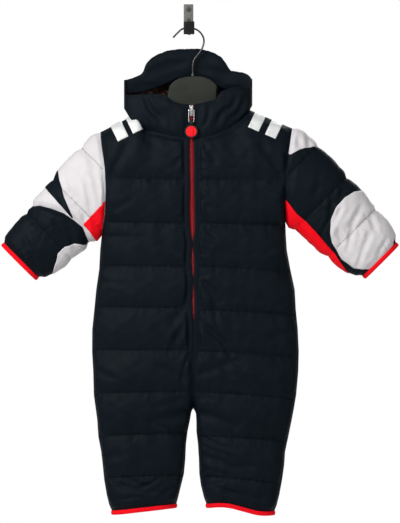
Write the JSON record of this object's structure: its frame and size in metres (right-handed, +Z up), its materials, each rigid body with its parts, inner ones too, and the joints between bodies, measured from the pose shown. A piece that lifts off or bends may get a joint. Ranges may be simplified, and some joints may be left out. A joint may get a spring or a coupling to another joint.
{
  "type": "baby snowsuit on a hanger and wall hook",
  "caption": "Quilted baby snowsuit with a hood, a full front zip and colour-blocked sleeves, hung on a plain hanger from a wall hook.",
  "frame": {"origin": "middle of the back of the wall hook's plate, where it meets the wall", "axes": "+X to the wearer's left, +Y into the wall, +Z up"},
  "size_m": [0.6972, 0.1014, 0.9007],
  "materials": {
    "navy_cloth": "woven nylon, faint sheen",
    "grey_cloth": "woven nylon, faint sheen",
    "red_cloth": "woven, matte",
    "zip_tape": "woven tape, matte",
    "silver_tape": "reflective tape, satin",
    "chrome": "polished",
    "rubber": "matte",
    "red_rubber": "matte",
    "hanger_plastic": "matte",
    "steel_wire": "dark, satin",
    "painted_steel": "black, satin"
  },
  "bodies": {
    "suit": {"back_left": "navy_cloth", "back_right": "navy_cloth", "binding_cuff_left": "red_cloth", "binding_cuff_right": "red_cloth", "binding_hem_left": "red_cloth", "binding_hem_right": "red_cloth", "front_left": "navy_cloth", "front_right": "navy_cloth", "hanger": "hanger_plastic", "hanger_hook": "steel_wire", "hood_back": "navy_cloth", "hood_left": "navy_cloth", "hood_right": "navy_cloth", "sleeve_left": "navy_cloth", "sleeve_left_cap": "grey_cloth", "sleeve_left_forearm": "grey_cloth", "sleeve_left_gusset": "red_cloth", "sleeve_right_gusset": "red_cloth", "sleeve_right_inner": "grey_cloth", "sleeve_right_lower": "navy_cloth", "sleeve_right_upper": "grey_cloth", "sleeve_right_wedge": "navy_cloth", "stripe_left_inner": "silver_tape", "stripe_left_outer": "silver_tape", "stripe_right_inner": "silver_tape", "stripe_right_outer": "silver_tape", "wall_hook": "painted_steel", "zip_slider": "chrome", "zip_tape_left": "zip_tape", "zip_tape_right": "zip_tape"},
    "zip_pull_body": {"zip_link": "chrome", "zip_pull": "rubber", "zip_pull_grip": "red_rubber"}
  },
  "joints": [
    {"name": "zip_pull_hinge", "type": "hinge", "parent": "suit", "child": "zip_pull_body", "pos_m": [0.005, -0.088, -0.1715], "axis": [-1, 0, 0], "range_deg": [0, 150]}
  ]
}
